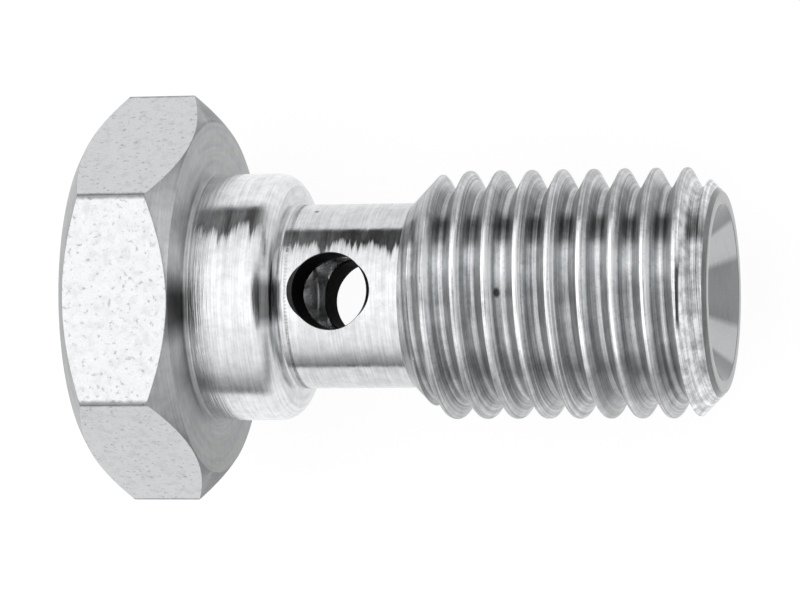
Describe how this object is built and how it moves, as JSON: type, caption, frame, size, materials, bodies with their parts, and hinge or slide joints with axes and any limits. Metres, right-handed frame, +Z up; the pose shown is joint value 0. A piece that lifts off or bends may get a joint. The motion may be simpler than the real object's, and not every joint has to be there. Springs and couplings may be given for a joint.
{
  "type": "banjo bolt",
  "caption": "Hollow hexagon-head banjo bolt with a centring collar, drilled neck and fine right-hand thread, lying on its side.",
  "frame": {"origin": "middle of the seat, the flat ring under the head, on the bolt's axis", "axes": "the bolt lies as it rests on a floor: its axis runs towards +X and 6.4 degrees down, from the seat to the tip of the thread; +Y is level across it, +Z is up, and one flat of the hexagon faces the floor"},
  "size_m": [0.0316, 0.0196, 0.0174],
  "materials": {
    "zinc_plated_steel": "bright zinc plating over turned steel, satin on the hexagon and thread, brighter on the collar and neck"
  },
  "bodies": {
    "root": {"banjo_bolt": "zinc_plated_steel"}
  },
  "joints": []
}
